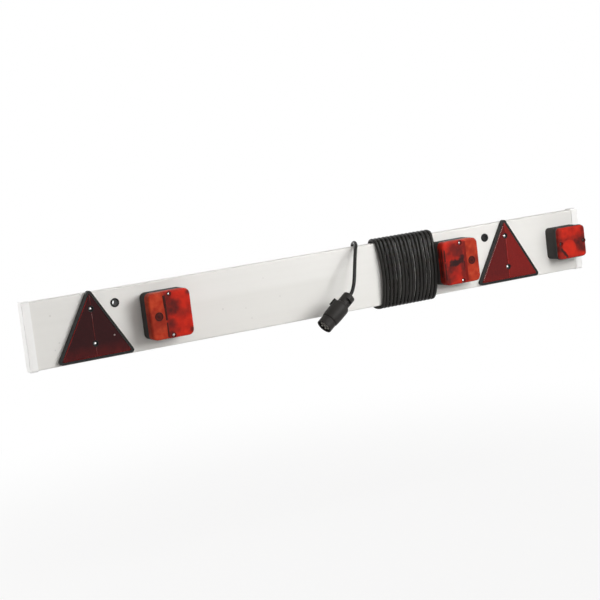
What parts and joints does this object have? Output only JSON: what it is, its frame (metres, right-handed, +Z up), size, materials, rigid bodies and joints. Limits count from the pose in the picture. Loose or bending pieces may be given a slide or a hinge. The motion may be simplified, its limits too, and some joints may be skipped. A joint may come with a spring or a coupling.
{
  "type": "trailer lighting board",
  "caption": "Long white board with rear lamps, triangular reflectors, a fog lamp and a wound cable with a plug, hung on the back of a trailer to carry its lights.",
  "frame": {"origin": "on the board's back face, midway between the axes of the two fixing holes", "axes": "+X along the board, to the right as seen from the lamp side; -Y out of the lamp side; +Z up"},
  "size_m": [1.372, 0.121, 0.1789],
  "materials": {
    "board_plastic": "satin white PVC, a little dirty",
    "cap_plastic": "satin white",
    "bush_plastic": "matt black",
    "reflector_black": "matt black",
    "reflector_red": "clear red over moulded prisms",
    "screw_steel": "bright plated",
    "lamp_black": "fine matt black",
    "seal_rubber": "matt",
    "carrier_plastic": "pale, matt",
    "holder_plastic": "dark, matt",
    "bulb_glass": "clear glass on a metal cap",
    "lens_amber": "clear amber moulding",
    "lens_red": "clear red moulding",
    "cable_black": "smooth black PVC sheath",
    "gland_rubber": "matt black",
    "lead_grey": "grey sheath",
    "plug_plastic": "dark grey, matt",
    "plug_carrier": "dark grey, matt",
    "pin_brass": "bright"
  },
  "bodies": {
    "root": {"board": "board_plastic", "end_cap_left": "cap_plastic", "end_cap_right": "cap_plastic", "fixing_bush_left": "bush_plastic", "fixing_bush_right": "bush_plastic", "reflector_left_body": "reflector_black", "reflector_right_body": "reflector_black", "reflector_left_lens": "reflector_red", "reflector_right_lens": "reflector_red", "reflector_screws": "screw_steel", "rear_lamp_lens_screws": "screw_steel", "rear_lamp_fixing_screws": "screw_steel", "fog_lamp_lens_screws": "screw_steel", "fog_lamp_fixing_screws": "screw_steel", "plug_clamp_screws": "screw_steel", "rear_lamp_left_body": "lamp_black", "rear_lamp_right_body": "lamp_black", "fog_lamp_body": "lamp_black", "rear_lamp_left_seal": "seal_rubber", "rear_lamp_right_seal": "seal_rubber", "fog_lamp_seal": "seal_rubber", "rear_lamp_left_carrier": "carrier_plastic", "rear_lamp_right_carrier": "carrier_plastic", "fog_lamp_carrier": "carrier_plastic", "rear_lamp_left_bulb_holder": "holder_plastic", "rear_lamp_right_bulb_holder": "holder_plastic", "fog_lamp_bulb_holder": "holder_plastic", "rear_lamp_left_amber_bulb": "bulb_glass", "rear_lamp_left_stop_bulb": "bulb_glass", "rear_lamp_right_amber_bulb": "bulb_glass", "rear_lamp_right_stop_bulb": "bulb_glass", "fog_lamp_bulb": "bulb_glass", "rear_lamp_left_amber_lens": "lens_amber", "rear_lamp_right_amber_lens": "lens_amber", "rear_lamp_left_red_lens": "lens_red", "rear_lamp_right_red_lens": "lens_red", "fog_lamp_lens": "lens_red", "cable_lead_in": "cable_black", "cable_winding": "cable_black", "cable_tail": "cable_black", "cable_gland": "gland_rubber", "lead_to_left_lamp": "lead_grey", "lead_to_right_lamp": "lead_grey", "lead_to_fog_lamp": "lead_grey", "plug_clamp": "plug_plastic", "plug_body": "plug_plastic", "plug_contact_carrier": "plug_carrier", "plug_pins": "pin_brass"}
  },
  "joints": []
}
